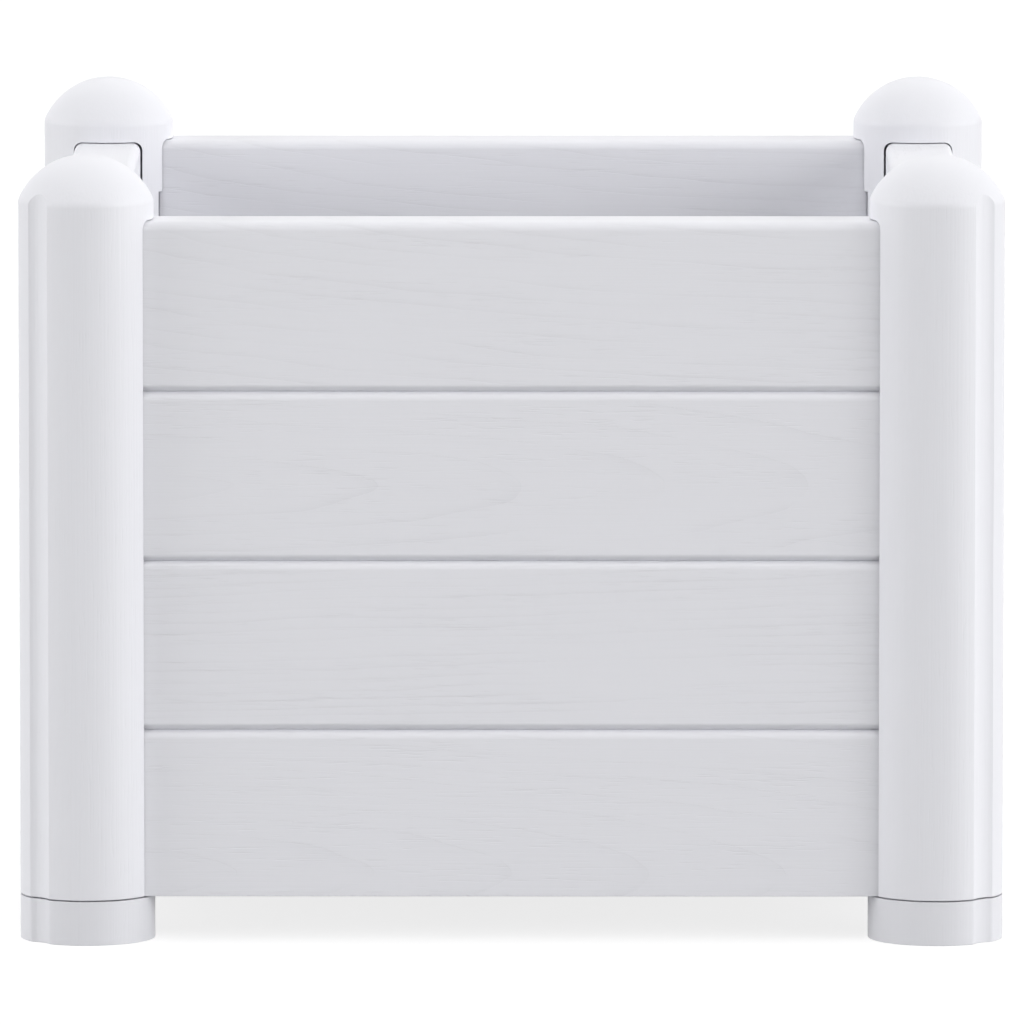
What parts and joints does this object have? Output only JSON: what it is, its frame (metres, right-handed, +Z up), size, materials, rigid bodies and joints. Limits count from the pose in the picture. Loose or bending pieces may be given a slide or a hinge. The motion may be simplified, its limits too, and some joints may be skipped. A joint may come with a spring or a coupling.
{
  "type": "versailles planter",
  "caption": "Square white planter: stacked wood-grained boards clip between domed corner posts on screwed foot caps, around a loose perforated floor plate.",
  "frame": {"origin": "centre of the base, on the ground", "axes": "+Z up, +X along the front wall to the viewer's right, the front wall faces -Y"},
  "size_m": [0.43, 0.43, 0.3441],
  "materials": {
    "post_resin": "fine vertical grain",
    "foot_resin": "fine vertical grain",
    "board_resin": "embossed wood grain",
    "floor_resin": "smooth satin",
    "screw_steel": "zinc plated"
  },
  "bodies": {
    "planter": {"rear_right_post": "post_resin", "rear_left_post": "post_resin", "front_left_post": "post_resin", "front_right_post": "post_resin", "rear_right_foot": "foot_resin", "rear_left_foot": "foot_resin", "front_left_foot": "foot_resin", "front_right_foot": "foot_resin", "foot_screws": "screw_steel", "front_board_1": "board_resin", "front_board_2": "board_resin", "front_board_3": "board_resin", "front_board_4": "board_resin", "right_board_1": "board_resin", "right_board_2": "board_resin", "right_board_3": "board_resin", "right_board_4": "board_resin", "rear_board_1": "board_resin", "rear_board_2": "board_resin", "rear_board_3": "board_resin", "rear_board_4": "board_resin", "left_board_1": "board_resin", "left_board_2": "board_resin", "left_board_3": "board_resin", "left_board_4": "board_resin"},
    "floor": {"floor_plate": "floor_resin"}
  },
  "joints": [
    {"name": "floor_lift", "type": "slide", "parent": "planter", "child": "floor", "axis": [0, 0, 1], "range_m": [0, 0.32]}
  ]
}
